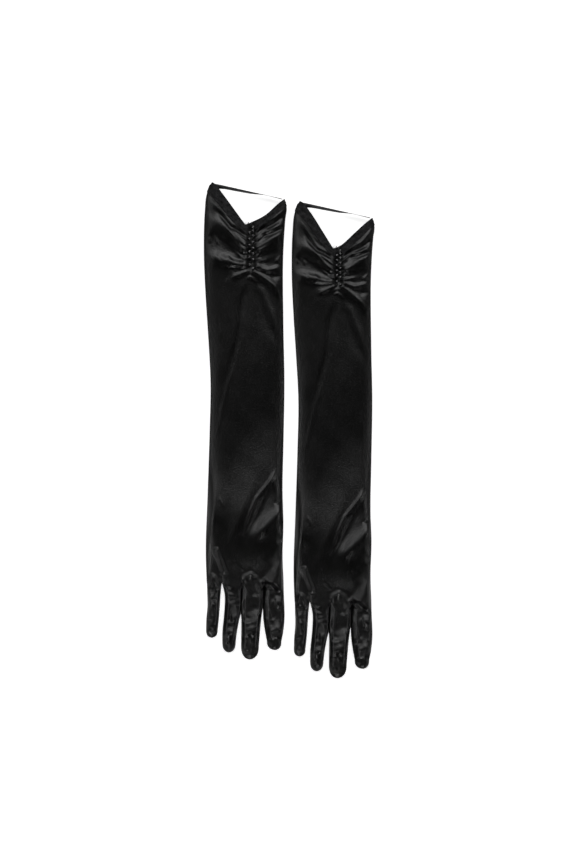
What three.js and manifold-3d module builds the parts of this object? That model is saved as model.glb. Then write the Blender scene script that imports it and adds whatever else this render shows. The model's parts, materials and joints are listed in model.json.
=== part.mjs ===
// A pair of opera-length satin gloves, lying flat with the backs of the hands up.
// Units are millimetres, +Z is up. Each glove points its fingers to -Y and its cuff to +Y.
//
// Each glove is drawn in its own frame: x = 0 runs up the middle of the arm, y = 0 is the
// line of the finger crotches and z = 0 is the surface that the glove lies on.
import * as THREE from 'three';
import { mergeVertices } from 'three/addons/utils/BufferGeometryUtils.js';
import Module from 'manifold-3d';

const wasm = await Module();
wasm.setup();

// ---- driving dimensions ----
const WALL = 1.2;               // double satin and lining, as one wall
const GAP = 0.35;               // clearance between neighbouring pieces
const ARM_THICK = 12;           // height of the empty arm tube
const HAND_THICK = 9.8;         // height of the hand where the thumb lies under it
const FINGER_THICK = 11.6;
const THUMB_THICK = 8.6;
const THUMB_LIFT = 9.2;         // how far the thumb props the hand up
const HAND_END = 0;             // the hand stops here and the fingers start
const TUBE_TOP = 474;           // the tube is drawn to here, then the neckline is cut
const HEM_WALL = 1.7;           // the hem is folded double
const CUT_LOW = -4;             // vertical cuts run between these two heights
const CUT_HIGH = 30;
const FINGER_GAP = 0.5;         // between the hand and each finger
const FOURCHETTE_INSET = 3.2;   // the side strip's seam lies this far in from the edge
const BEAD_RADIUS = 1.5;
const STRAP_WIDTH = 5;
const STRAP_THICK = 0.9;
const TAPE_WIDTH = 6;
const TAPE_THICK = 1;

// Side edges of the arm and hand, [y, x], from the hand up to the neckline.
const LEFT_EDGE = [[0, -43.5], [32, -44.5], [100, -42.5], [170, -40.2], [235, -39], [294, -42.1],
  [331, -44.5], [390, -46.8], [434, -45.6], [452, -43.8], [461, -41], [468, -36.7], [474, -33]];
const RIGHT_EDGE = [[0, 45.8], [32, 44.6], [69, 45.6], [106, 44.6], [160, 45.6], [235, 46.8],
  [300, 45.6], [392, 45.8], [425, 48], [438, 49.4], [448, 46.6], [474, 40]];

// Each finger: its edges at the base, the waist, the middle and the last joint, then its tip.
const FINGERS = [
  { name: 'little', left: [-43.4, -43.6, -44.6, -43.4], right: [-26.8, -27.8, -30.2, -31],
    rows: [-0.5, -12, -40, -56], tip: [-38.4, -64.4], fourchettes: ['right'] },
  { name: 'ring', left: [-25.2, -22.4, -23.4, -25.2], right: [-2.2, -3.6, -6.8, -9],
    rows: [-0.5, -14, -43, -68], tip: [-17.5, -81.9], fourchettes: ['left', 'right'] },
  { name: 'middle', left: [-0.9, -2.2, -3.4, -3.2], right: [22.6, 21, 20, 17.2],
    rows: [-0.5, -14, -43, -74], tip: [6.6, -90], fourchettes: ['left', 'right'] },
  { name: 'index', left: [24.2, 22.6, 22.4, 26], right: [45.8, 46.8, 46.9, 43],
    rows: [-0.5, -14, -36, -68], tip: [36, -79], fourchettes: ['left'] },
];
const TIP_CLOSED = 14;          // fourchettes stop this far short of a fingertip

// The thumb lies folded flat under the palm, about its base.
const THUMB_PIVOT = new THREE.Vector2(33.8, 73);
const THUMB_REACH = 49;
const THUMB_HALF_WIDTH = 10.6;
const THUMB_ANGLE = THREE.MathUtils.degToRad(43);    // at rest, from -Y towards -X
const THUMB_SWEEP = THREE.MathUtils.degToRad(30);    // how far it swings out
const THUMB_HOLE = 7.5;
const LIFT_FADE = 17;           // the palm comes down again over this distance

// The two gloves. The neckline of the second dips deeper and its gathers are shorter.
const GLOVES = [
  { prefix: 'a', at: [-51.5, 0], dip: 0, ruche: [8.7, 366, 418] },
  { prefix: 'b', at: [51.2, -22], dip: 5.9, ruche: [7.7, 369, 412] },
];
// Bead places along the gathers, from 0 at the bottom to 1 at the top, in two loose columns.
const BEADS_RIGHT = [0.02, 0.22, 0.35, 0.47, 0.61, 0.75, 0.86, 0.945];
const BEADS_LEFT = [0.1, 0.275, 0.4, 0.54, 0.68, 0.82];
const BEAD_SPREAD = 2;

const SATIN = { color: 0x0b0b0c, roughness: 0.38, metalness: 0 };
const HEM_CLOTH = { color: 0x141415, roughness: 0.75, metalness: 0 };
const ELASTIC = { color: 0x101011, roughness: 0.8, metalness: 0 };
const GLOSS_BEAD = { color: 0x050506, roughness: 0.08, metalness: 0 };

// ---- small helpers ----
const smooth = (t) => {
  const s = Math.min(Math.max(t, 0), 1);
  return s * s * (3 - 2 * s);
};

// A smooth curve through [at, value] pairs, read at any place.
function through(pairs) {
  const curve = (at) => {
    let i = 0;
    while (i < pairs.length - 2 && (at - pairs[i + 1][0]) * Math.sign(pairs[1][0] - pairs[0][0]) > 0) i += 1;
    const [a, p] = pairs[i];
    const [b, q] = pairs[i + 1];
    const before = pairs[Math.max(i - 1, 0)];
    const after = pairs[Math.min(i + 2, pairs.length - 1)];
    const span = b - a;
    const mp = ((q - before[1]) / (b - before[0])) * span;
    const mq = ((after[1] - p) / (after[0] - a)) * span;
    const t = Math.min(Math.max((at - a) / span, 0), 1);
    const t2 = t * t;
    const t3 = t2 * t;
    return (2 * t3 - 3 * t2 + 1) * p + (t3 - 2 * t2 + t) * mp + (3 * t2 - 2 * t3) * q + (t3 - t2) * mq;
  };
  return curve;
}

// Distance from a point to the line between two others.
function toSegment(p, a, b) {
  const along = b.clone().sub(a);
  const t = THREE.MathUtils.clamp(p.clone().sub(a).dot(along) / along.lengthSq(), 0, 1);
  return p.distanceTo(a.clone().addScaledVector(along, t));
}

// Join rings of points into a closed solid: side faces and a fan over each end.
function skin(rings) {
  const n = rings[0].length;
  const flat = rings.flat().flatMap((p) => [p.x, p.y, p.z]);
  const index = [];
  for (let r = 0; r < rings.length - 1; r += 1) {
    for (let i = 0; i < n; i += 1) {
      const a = r * n + i;
      const b = r * n + (i + 1) % n;
      index.push(a, b, b + n, a, b + n, a + n);
    }
  }
  for (const [r, flip] of [[0, false], [rings.length - 1, true]]) {
    const middle = rings[r].reduce((s, p) => s.add(p), new THREE.Vector3()).divideScalar(n);
    const c = flat.length / 3;
    flat.push(middle.x, middle.y, middle.z);
    for (let i = 0; i < n; i += 1) {
      const a = r * n + i;
      const b = r * n + (i + 1) % n;
      index.push(...(flip ? [c, a, b] : [c, b, a]));
    }
  }
  const geometry = new THREE.BufferGeometry();
  geometry.setAttribute('position', new THREE.Float32BufferAttribute(flat, 3));
  geometry.setIndex(index);
  return geometry;
}

function toSolid(geometry) {
  const bare = geometry.clone();
  bare.deleteAttribute('normal');
  bare.deleteAttribute('uv');
  const merged = mergeVertices(bare);
  return new wasm.Manifold(new wasm.Mesh({
    numProp: 3,
    vertProperties: Float32Array.from(merged.attributes.position.array),
    triVerts: Uint32Array.from(merged.index.array),
  }));
}

function toGeometry(solid) {
  const mesh = solid.getMesh();
  const geometry = new THREE.BufferGeometry();
  geometry.setAttribute('position', new THREE.Float32BufferAttribute(mesh.vertProperties, 3));
  geometry.setIndex(Array.from(mesh.triVerts));
  return geometry;
}

// A vertical cut: everything inside an outline, from CUT_LOW to CUT_HIGH.
function column(points) {
  const geometry = new THREE.ExtrudeGeometry(new THREE.Shape(points), {
    depth: CUT_HIGH - CUT_LOW, bevelEnabled: false,
  });
  geometry.translate(0, 0, CUT_LOW);
  return toSolid(geometry);
}

const sampled = (points, steps) => new THREE.SplineCurve(points).getPoints(steps);
const v2 = (x, y) => new THREE.Vector2(x, y);

// ---- the flattened tube: a section with flat faces and half-round sides ----
// shape gives left(y), right(y), thick(x, y) and lift(x, y); inset shrinks it all round.
function section(shape, y, inset, flats, arcs) {
  const left = shape.left(y) + inset;
  const right = shape.right(y) - inset;
  const side = Math.min((shape.thick(left, y) - 2 * inset) / 2, (right - left) / 2 - 0.05);
  const outline = [];
  const add = (x, up) => {
    const half = (shape.thick(x, y) - 2 * inset) / 2;
    const middle = shape.thick(x, y) / 2 + shape.lift(x, y);
    outline.push(new THREE.Vector3(x, y, middle + up * half));
  };
  for (let i = 0; i <= flats; i += 1) add(right - side - ((right - left - 2 * side) * i) / flats, 1);
  for (let i = 1; i < arcs; i += 1) {
    const turn = (Math.PI * i) / arcs;
    add(left + side - side * Math.sin(turn), Math.cos(turn));
  }
  for (let i = 0; i <= flats; i += 1) add(left + side + ((right - left - 2 * side) * i) / flats, -1);
  for (let i = 1; i < arcs; i += 1) {
    const turn = (Math.PI * i) / arcs;
    add(right - side + side * Math.sin(turn), -Math.cos(turn));
  }
  return outline;
}

// Stations run towards -Y, so that the faces point outwards.
const loft = (shape, stations, inset, flats, arcs) =>
  toSolid(skin(stations.map((y) => section(shape, y, inset, flats, arcs))));

// ---- the thumb's place under the palm ----
function thumbAxis(swing) {
  const turn = THUMB_ANGLE - swing;
  return v2(-Math.sin(turn), -Math.cos(turn));
}

// 1 above everything that the thumb sweeps over, fading to 0 around it.
function overThumb(x, y) {
  const p = v2(x, y);
  const tips = [0, THUMB_SWEEP / 2, THUMB_SWEEP].map((swing) =>
    THUMB_PIVOT.clone().addScaledVector(thumbAxis(swing), THUMB_REACH - THUMB_HALF_WIDTH));
  const near = Math.min(...tips.map((tip) => toSegment(p, THUMB_PIVOT, tip)));
  const away = near - THUMB_HALF_WIDTH - 1.5;
  return (1 - smooth(away / LIFT_FADE)) * smooth((y - HAND_END) / 14);
}

// ---- arm and hand ----
const armShape = {
  left: through(LEFT_EDGE),
  right: through(RIGHT_EDGE),
  thick: (x, y) => ARM_THICK - (ARM_THICK - HAND_THICK) * overThumb(x, y),
  lift: (x, y) => THUMB_LIFT * overThumb(x, y),
};
const ARM_STATIONS = [TUBE_TOP, 468, 461, 452, 438, 415, 385, 331, 294, 235, 170, 118, 104, 92, 80,
  68, 56, 44, 34, 25, 17, 10, HAND_END];
const ARM_FLATS = 9;
const ARM_ARCS = 4;

function armTube(wall) {
  const past = 3;
  const inner = [TUBE_TOP + past, ...ARM_STATIONS, HAND_END - past];
  return loft(armShape, ARM_STATIONS, 0, ARM_FLATS, ARM_ARCS)
    .subtract(loft(armShape, inner, wall, ARM_FLATS, ARM_ARCS));
}

// The neckline and the hem's lower seam, from left to right, at the front and back alike.
const neckline = (dip) => [
  ...sampled([v2(-45, 478.6), v2(-36.7, 468.6), v2(-24.6, 452.8), v2(-10.9, 434.2 - dip / 2),
    v2(1.4, 418.3 - dip)], 14),
  ...sampled([v2(1.4, 418.3 - dip), v2(9.6, 421.8 - dip), v2(26.1, 429.8 - dip / 3), v2(39.8, 442.3),
    v2(46.6, 448.2), v2(60, 460)], 14).slice(1),
];
const hemSeam = (dip) => sampled([v2(-60, 474), v2(-44, 456), v2(-31, 442), v2(-13, 420 - dip / 2),
  v2(4, 407 - dip), v2(13.5, 411 - dip), v2(29, 422 - dip / 3), v2(48, 437.5), v2(60, 447)], 26);

const above = (line) => column([...line, v2(60, 500), v2(-60, 500)]);
const lowered = (line, by) => line.map((p) => v2(p.x, p.y - by));

// Everything above the tube's middle surface, raised by a little: the side seams lie on it.
function aboveMiddle(rise) {
  const xs = Array.from({ length: 15 }, (_, i) => -70 + i * 10);
  const rings = [TUBE_TOP + 9, ...ARM_STATIONS, HAND_END - 6].map((y) => {
    const edge = xs.map((x) => {
      const within = THREE.MathUtils.clamp(x, armShape.left(y), armShape.right(y));
      const middle = armShape.thick(within, y) / 2 + armShape.lift(within, y);
      return new THREE.Vector3(x, y, middle + rise);
    });
    const lid = xs.map((x) => new THREE.Vector3(x, y, CUT_HIGH)).reverse();
    return [...lid, ...edge];
  });
  return toSolid(skin(rings));
}

// The hole in the palm that the thumb is set into.
function thumbHole() {
  const hole = new THREE.CylinderGeometry(THUMB_HOLE, THUMB_HOLE, 12, 12);
  hole.rotateX(Math.PI / 2);
  hole.translate(THUMB_PIVOT.x, THUMB_PIVOT.y, THUMB_LIFT);
  return toSolid(hole);
}

function panels(glove) {
  const tube = armTube(WALL).subtract(above(lowered(hemSeam(glove.dip), GAP)));
  return {
    back_panel: tube.intersect(aboveMiddle(GAP / 2)),
    palm_panel: tube.subtract(aboveMiddle(-GAP / 2)).subtract(thumbHole()),
  };
}

function cuffHem(glove) {
  return armTube(HEM_WALL).intersect(above(hemSeam(glove.dip))).subtract(above(neckline(glove.dip)));
}

// ---- fingers ----
function fingerShape(finger) {
  const left = through(finger.rows.map((y, i) => [y, finger.left[i]]).concat([[finger.tip[1], finger.tip[0]]]));
  const right = through(finger.rows.map((y, i) => [y, finger.right[i]]).concat([[finger.tip[1], finger.tip[0]]]));
  const last = finger.rows[3];
  const round = (y) => Math.sqrt(Math.max(1 - ((last - y) / (last - finger.tip[1])) ** 2, 0));
  const edge = (side, at) => (y) => {
    if (y >= last) return side(y);
    return finger.tip[0] + (at - finger.tip[0]) * round(y);
  };
  return {
    left: edge(left, finger.left[3]),
    right: edge(right, finger.right[3]),
    thick: (x, y) => (y >= last ? FINGER_THICK : FINGER_THICK * (0.45 + 0.55 * round(y))),
    lift: (x, y) => (y >= last ? 0 : FINGER_THICK * 0.1 * (1 - round(y))),
  };
}

function fingerStations(finger, end) {
  const last = finger.rows[3];
  const body = [0, 1, 2, 3, 4].map((i) => -FINGER_GAP + ((last + FINGER_GAP) * i) / 4);
  const cap = [0.45, 0.78, 0.96].map((t) => last + (end - last) * t);
  return [...body, ...cap];
}

// The strip of a finger's wall that is its fourchette leg: a band along one side.
function sideBand(finger, shape, side, inset) {
  const low = finger.tip[1] + TIP_CLOSED + (FOURCHETTE_INSET - inset);
  const edge = side === 'left' ? shape.left : shape.right;
  const into = side === 'left' ? 1 : -1;
  const ys = [6, -6, -18, -30, -42, low].filter((y) => y >= low);
  const inner = ys.map((y) => v2(edge(Math.min(y, -FINGER_GAP)) + into * inset, y));
  const outer = ys.map((y) => v2(edge(Math.min(y, -FINGER_GAP)) - into * 6, y)).reverse();
  return column([...inner, ...outer]);
}

function fingerPieces(finger) {
  const shape = fingerShape(finger);
  const flats = 3;
  const arcs = 3;
  const outer = loft(shape, fingerStations(finger, finger.tip[1]), 0, flats, arcs);
  const inner = loft(shape, [6, ...fingerStations(finger, finger.tip[1] + 2.5)], WALL, flats, arcs);
  const tube = outer.subtract(inner);
  const pieces = {};
  let shell = tube;
  for (const side of finger.fourchettes) {
    shell = shell.subtract(sideBand(finger, shape, side, FOURCHETTE_INSET + GAP));
    pieces[`${finger.name}_fourchette_${side}`] = tube.intersect(sideBand(finger, shape, side, FOURCHETTE_INSET));
  }
  return { [`${finger.name}_finger`]: shell, ...pieces };
}

// ---- thumb: a pocket under the palm, open upwards where it meets the palm's hole ----
function thumb() {
  const half = THUMB_HALF_WIDTH;
  const tip = THUMB_REACH - half;
  const width = (y) => {
    if (y > 0) return half * Math.sqrt(Math.max(1 - (y / half) ** 2, 0));
    if (y < -tip) return half * Math.sqrt(Math.max(1 - ((y + tip) / half) ** 2, 0));
    return half;
  };
  const shape = {
    left: (y) => -width(y),
    right: (y) => width(y),
    thick: (x, y) => THUMB_THICK * (0.5 + 0.5 * (width(y) / half)),
    lift: (x, y) => THUMB_THICK * 0.1 * (1 - width(y) / half),
  };
  const ends = [0.45, 0.78, 0.96];
  const stations = (scale) => [
    ...ends.map((t) => half * t * scale).reverse(), 0, -tip / 2, -tip,
    ...ends.map((t) => -tip - half * t * scale)];
  const mouth = new THREE.CylinderGeometry(THUMB_HOLE, THUMB_HOLE, THUMB_THICK, 12);
  mouth.rotateX(Math.PI / 2);
  mouth.translate(0, 0, THUMB_THICK);
  return loft(shape, stations(1), 0, 3, 4)
    .subtract(loft(shape, stations(0.86), WALL, 3, 4))
    .subtract(toSolid(mouth));
}

// ---- trim ----
// The stay tape that holds the gathers, flat against the inside of the back panel.
function stayTape(glove) {
  const [x, low, high] = glove.ruche;
  const tape = new THREE.BoxGeometry(TAPE_WIDTH, high - low - 16, TAPE_THICK);
  tape.translate(x, (low + high) / 2 - 6, ARM_THICK - WALL - GAP - TAPE_THICK / 2);
  return tape;
}

// The elastic strap across the neckline. It leaves the left peak flat and turns on edge.
function strap() {
  const start = v2(-30, 465.9);
  const end = v2(43, 448.7);
  const along = end.clone().sub(start);
  const across = v2(-along.y, along.x).normalize();
  const turnAt = through([[0, 0.3], [0.2, 0.9], [0.45, 1.2], [0.62, 1.5708], [1, 1.5708]]);
  const rings = [];
  for (let i = 0; i <= 18; i += 1) {
    const s = i / 18;
    const turn = turnAt(s);
    const plan = STRAP_WIDTH * Math.cos(turn);
    const middle = start.clone().addScaledVector(along, s).addScaledVector(across, -plan / 2);
    const flat = new THREE.Vector3(across.x * Math.cos(turn), across.y * Math.cos(turn), Math.sin(turn));
    const thin = new THREE.Vector3(-across.x * Math.sin(turn), -across.y * Math.sin(turn), Math.cos(turn));
    const centre = new THREE.Vector3(middle.x, middle.y, ARM_THICK / 2);
    rings.push([[-1, 1], [-1, -1], [1, -1], [1, 1]].map(([w, t]) => centre.clone()
      .addScaledVector(flat, (w * STRAP_WIDTH) / 2)
      .addScaledVector(thin, (t * STRAP_THICK) / 2)));
  }
  return skin(rings);
}

function beadPlaces(glove) {
  const [x, low, high] = glove.ruche;
  const place = (side) => (t) => v2(x + side * BEAD_SPREAD, low + (high - low) * t);
  return [...BEADS_RIGHT.map(place(1)), ...BEADS_LEFT.map(place(-1))].sort((p, q) => q.y - p.y);
}

// ---- assembly ----
const group = new THREE.Group();
group.name = 'opera_gloves';

function add(parent, name, geometry, look) {
  const mesh = new THREE.Mesh(geometry, new THREE.MeshStandardMaterial(look));
  mesh.name = name;
  parent.add(mesh);
  return mesh;
}

for (const glove of GLOVES) {
  const whole = new THREE.Group();
  whole.position.set(glove.at[0], glove.at[1], 0);
  group.add(whole);
  const name = (piece) => `${glove.prefix}_${piece}`;

  for (const [piece, solid] of Object.entries(panels(glove))) {
    add(whole, name(piece), toGeometry(solid), SATIN);
  }
  add(whole, name('cuff_hem'), toGeometry(cuffHem(glove)), HEM_CLOTH);
  add(whole, name('stay_tape'), stayTape(glove), ELASTIC);
  add(whole, name('strap'), strap(), ELASTIC);

  for (const finger of FINGERS) {
    for (const [piece, solid] of Object.entries(fingerPieces(finger))) {
      add(whole, name(piece), toGeometry(solid), SATIN);
    }
  }

  const thumbMesh = add(whole, name('thumb'), toGeometry(thumb()), SATIN);
  thumbMesh.position.set(THUMB_PIVOT.x, THUMB_PIVOT.y, 0);
  thumbMesh.rotation.z = -THUMB_ANGLE;

  beadPlaces(glove).forEach((p, i) => {
    const bead = add(whole, name(`bead_${String(i + 1).padStart(2, '0')}`),
      new THREE.SphereGeometry(BEAD_RADIUS, 7, 5), GLOSS_BEAD);
    bead.rotation.x = Math.PI / 2;
    bead.position.set(p.x, p.y, ARM_THICK + GAP + BEAD_RADIUS);
  });
}

// Stand the pair over the origin: the middle of its box in X and Y, its lowest point at z = 0.
const box = new THREE.Box3().setFromObject(group);
const middle = box.getCenter(new THREE.Vector3());
group.position.set(-middle.x, -middle.y, -box.min.z);

export default group;
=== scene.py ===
"""Looks for a pair of black satin opera gloves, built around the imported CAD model.

Shapes are worked out in each glove's own frame, in millimetres: x runs across the arm, y = 0 is the
line of the finger crotches and grows towards the cuff, and z = 0 is the surface underneath. A glove's
skin is one net of rings, cut into its sewn pieces afterwards, so that the pieces meet exactly.
"""
import json
import math

import bpy
import numpy as np
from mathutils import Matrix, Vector


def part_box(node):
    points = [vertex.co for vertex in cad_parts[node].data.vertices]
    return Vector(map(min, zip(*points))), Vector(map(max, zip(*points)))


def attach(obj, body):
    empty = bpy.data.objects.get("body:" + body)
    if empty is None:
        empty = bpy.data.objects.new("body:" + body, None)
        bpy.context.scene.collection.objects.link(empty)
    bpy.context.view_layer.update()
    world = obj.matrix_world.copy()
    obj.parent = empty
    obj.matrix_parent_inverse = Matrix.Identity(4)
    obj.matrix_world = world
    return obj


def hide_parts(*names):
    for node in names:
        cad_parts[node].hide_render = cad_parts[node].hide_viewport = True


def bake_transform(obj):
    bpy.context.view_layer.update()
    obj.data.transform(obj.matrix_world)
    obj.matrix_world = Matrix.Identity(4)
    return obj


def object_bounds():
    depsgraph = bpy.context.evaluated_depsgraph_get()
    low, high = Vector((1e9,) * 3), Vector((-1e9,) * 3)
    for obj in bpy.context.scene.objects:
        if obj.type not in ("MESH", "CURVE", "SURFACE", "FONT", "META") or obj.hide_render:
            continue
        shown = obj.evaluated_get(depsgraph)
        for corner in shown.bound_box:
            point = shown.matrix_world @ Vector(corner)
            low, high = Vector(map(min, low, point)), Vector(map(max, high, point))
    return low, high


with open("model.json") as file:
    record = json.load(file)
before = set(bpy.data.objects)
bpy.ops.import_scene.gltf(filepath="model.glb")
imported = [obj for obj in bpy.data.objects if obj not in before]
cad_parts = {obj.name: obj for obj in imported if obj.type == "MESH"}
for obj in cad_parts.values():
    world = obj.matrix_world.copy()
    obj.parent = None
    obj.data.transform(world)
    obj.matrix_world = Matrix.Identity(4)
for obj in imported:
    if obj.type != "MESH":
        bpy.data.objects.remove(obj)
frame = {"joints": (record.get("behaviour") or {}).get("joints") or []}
cad_low, cad_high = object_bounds()

MM = 0.001

# ---- outline of the arm and hand, (y, x), as in the CAD ----
LEFT_EDGE = [(0, -43.5), (32, -44.5), (100, -42.5), (170, -40.2), (235, -39), (294, -42.1), (331, -44.5),
             (390, -46.8), (434, -45.6), (452, -43.8), (461, -41), (468, -36.7), (474, -33)]
RIGHT_EDGE = [(0, 45.8), (32, 44.6), (69, 45.6), (106, 44.6), (160, 45.6), (235, 46.8), (300, 45.6),
              (392, 45.8), (425, 48), (438, 49.4), (448, 46.6), (474, 40)]
ARM_THICK = 12.0
HAND_THICK = 9.8
THUMB_LIFT = 9.2
CUFF_BASE = 322.0        # above here the rows of the net bend to follow the neckline
CROTCHES = (-26.0, -1.5, 23.4)

# Each finger: (y, left, right) down its length, its tip, and how far in its fourchette seams lie.
FINGERS = {
    "little": dict(rows=[(0, -43.5, -26), (-12, -43.2, -27.4), (-28, -42.9, -28.4), (-43, -44.2, -29.6),
                         (-56, -44.6, -31)],
                   tip=(-38, -64.9), seam=(1.5, 3.4)),
    "ring": dict(rows=[(0, -26, -1.5), (-14, -22.8, -2.2), (-31, -23, -3.2), (-43, -24, -5.6),
                       (-57, -25.4, -8.2), (-70, -25.6, -9.9)],
                 tip=(-18, -82.2), seam=(4.7, 3.0)),
    "middle": dict(rows=[(0, -1.5, 23.4), (-14, -2.2, 22.5), (-31, -3.2, 21.5), (-43, -3.3, 20),
                         (-74, -3.6, 17.2)],
                   tip=(6.4, -90.4), seam=(4.9, 4.2)),
    "index": dict(rows=[(0, 23.4, 46.1), (-14, 22.5, 46.4), (-31, 21.9, 47.2), (-43, 22.4, 47.2),
                        (-56, 24.2, 46), (-69, 26.6, 43.6)],
                  tip=(36.2, -79.4), seam=(6.6, 1.5)),
}
# The sides of each finger that have a fourchette.
FOURCHETTES = {
    "little": ("right",),
    "ring": ("left", "right"),
    "middle": ("left", "right"),
    "index": ("left",),
}
FINGER_THICK = 11.6
FINGER_ROUND = 7.6       # how far in a finger's rounded side reaches
LAP_OUT = 0.55           # where fingers lap, how far a side bulges out, and up or down
LAP_UP = 1.9
EDGE_PROUD = 0.35        # the soft cloth bulges past the pattern's outline by this much
TIP_CLOSED = 14.0
TIP_SLOPE = 21.0         # the last part of a finger thins towards its tip by this share
TIP_FLATTENING = 0.48

THUMB_PIVOT = np.array([33.8, 73.0])
THUMB_REACH = 49.0
THUMB_STRAIGHT = 36.0    # the pocket's straight part, before its rounded tip
THUMB_HALF_WIDTH = 10.6
THUMB_THICK = 8.6
THUMB_ANGLE = math.radians(43)
THUMB_SWEEP = math.radians(30)
LIFT_FADE = 17.0         # how far round the thumb the palm and the back of the hand come down again
CROWN_FADE = 46.0

# The neckline and the hem's seam, (x, y) from left to right, where the neckline does not dip.
NECK_LEFT = [(-45, 469.5), (-39, 467.6), (-35.8, 466.4), (-24.6, 452.8), (-10.9, 434.2), (1.4, 417.2)]
NECK_RIGHT = [(1.4, 417.2), (9.6, 420.6), (26.1, 429.4), (39.8, 441.8), (46.6, 447.4), (60, 459)]
HEM_SEAM = [(-60, 474), (-44, 456), (-31, 442), (-13, 420), (4, 407), (13.5, 411), (29, 422), (48, 437.5),
            (60, 447)]
# How much deeper each glove's neckline dips, and its line of gathers: x, bottom, top.
FIRST_RUCHE = (8.7, 366.0, 418.0)
GLOVES = {
    "a": dict(dip=0.0, ruche=FIRST_RUCHE),
    "b": dict(dip=5.9, ruche=(7.7, 369.0, 412.0)),
}

HEM_START = 2.05         # the row of the net where the facing starts, just past its seam
HEM_ROWS = 26
HEM_RISE = 0.5           # how far the facing stands out from the satin
HEM_INSIDE = 0.9         # how far in its inside layer lies
HEM_EDGE = 0.7           # how far its folded edge stands past the neckline
STRAP_START = (-36.5, 466.6)
STRAP_END = (44.5, 448.2)
STRAP_WIDTH = 5.8
STRAP_THICK = 0.35
STRAP_POINTS = 90
# How the strap turns on edge, (share of its length, angle).
STRAP_TURN = [(0, 0.3), (0.15, 0.9), (0.36, 1.1), (0.6, 1.34), (0.7, 1.5708), (1, 1.5708)]
TAPE_WIDTH = 6.0
TAPE_THICK = 0.5
TAPE_DEPTH = 1.1
TAPE_POINTS = 60
BEAD_COUNT = 14
BEAD_RADIUS = 1.4
BEAD_HOLE = 0.3
BEAD_FACETS = 18
THREAD_RADIUS = 0.13
FRAY_RADIUS = 0.16
FRAYED_ENDS = 9
SEAM_RADIUS = 0.42
SEAM_STEP = 0.25         # rows of a finger's net between the points of a seam
ROWS_PER_STITCH = 1.9

# Net density.
ROW_STEP = 1.15          # between the rows of the hand and fingers
ARM_ROW_STEP = 2.6
ARM_START = 140          # where the arm's wider rows begin
CUFF_ROWS = 110
TIP_ROWS = 13
PER_FINGER = 24          # columns across the top of each finger
PER_UNDER = 8            # columns across its underside
WALL_STEPS = 8           # steps round each side
ACROSS = 4 * PER_FINGER
UNDER = 4 * PER_UNDER


def glove_origin(prefix):
    """Where a glove's own frame stands in the row frame: the thumb's pivot fixes it."""
    joint = next(j for j in frame["joints"] if j["name"] == f"{prefix}_thumb_swing")
    x, y, _ = joint["pos_m"]
    return np.array([x - THUMB_PIVOT[0] * MM, y - THUMB_PIVOT[1] * MM, 0.0])


# ---- curves and fields ----
def smooth(t):
    """A soft step from 0 to 1."""
    t = np.clip(t, 0, 1)
    return t * t * (3 - 2 * t)


def through(pairs):
    """A smooth curve through (at, value) pairs, read at any array of places."""
    at, value = (np.array(c, float) for c in zip(*sorted(pairs)))
    slope = np.gradient(value, at)

    def read(x):
        x = np.clip(x, at[0], at[-1])
        i = np.clip(np.searchsorted(at, x, side="right") - 1, 0, len(at) - 2)
        span = at[i + 1] - at[i]
        t = (x - at[i]) / span
        rise = (2 * t**3 - 3 * t**2 + 1) * value[i] + (3 * t**2 - 2 * t**3) * value[i + 1]
        return rise + span * ((t**3 - 2 * t**2 + t) * slope[i] + (t**3 - t**2) * slope[i + 1])

    return read


left_edge = through(LEFT_EDGE)
right_edge = through(RIGHT_EDGE)
# How far in the side seams lie, and how wide the rounded sides are.
left_round = through([(0, 8), (40, 14), (420, 16), (474, 12)])
LEFT_SEAM = 1.5
RIGHT_SEAM = 2.2
right_seam = through([(0, RIGHT_SEAM), (96, RIGHT_SEAM), (134, 6.4), (186, 9.8), (290, 10.2), (345, 3),
                      (474, RIGHT_SEAM)])
right_round = through([(0, 8), (60, 10), (170, 15), (300, 16), (420, 14), (474, 12)])
FOLD_SHARPNESS = 0.66    # 0.5 is a round side; more makes it a crisper fold


def profile(t):
    """The side's height, 0 at the outer fold and 1 where it meets the flat."""
    return (1 - (1 - np.clip(t, 0, 1)) ** 2) ** FOLD_SHARPNESS


def to_line(x, y, a, b):
    """From points to the straight line between a and b: the distance to it, how far along it, which
    side of it, and the line's length."""
    ax, ay = a
    dx, dy = b[0] - ax, b[1] - ay
    length = math.hypot(dx, dy)
    t = np.clip(((x - ax) * dx + (y - ay) * dy) / length**2, 0, 1)
    gone = np.hypot(x - ax - t * dx, y - ay - t * dy)
    side = np.sign((x - ax) * -dy + (y - ay) * dx)
    return gone, t * length, side, length


def from_thumb(x, y, turn):
    """The distance to the middle line of a thumb that lies at an angle to the fingers."""
    tip = THUMB_PIVOT - (THUMB_REACH - THUMB_HALF_WIDTH) * np.array([math.sin(turn), math.cos(turn)])
    return to_line(x, y, THUMB_PIVOT, tip)[0]


def over_thumb(x, y):
    """1 above everything that the thumb sweeps over, fading to 0 around it, as in the CAD."""
    swings = (0, THUMB_SWEEP / 2, THUMB_SWEEP)
    near = np.minimum.reduce([from_thumb(x, y, THUMB_ANGLE - swing) for swing in swings])
    away = near - THUMB_HALF_WIDTH - 1.5
    return (1 - smooth(away / LIFT_FADE)) * smooth(y / 14)


def crown(x, y):
    """How far the back of the hand rises over the thumb: a low, broad swell that runs up the arm."""
    squeezed = np.where(y > THUMB_PIVOT[1], THUMB_PIVOT[1] + (y - THUMB_PIVOT[1]) * 0.5, y)
    away = from_thumb(x, squeezed, 0.5) - THUMB_HALF_WIDTH - 4
    return (HAND_THICK + THUMB_LIFT - ARM_THICK) * (1 - smooth(away / CROWN_FADE)) * smooth((y + 6) / 52)


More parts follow.
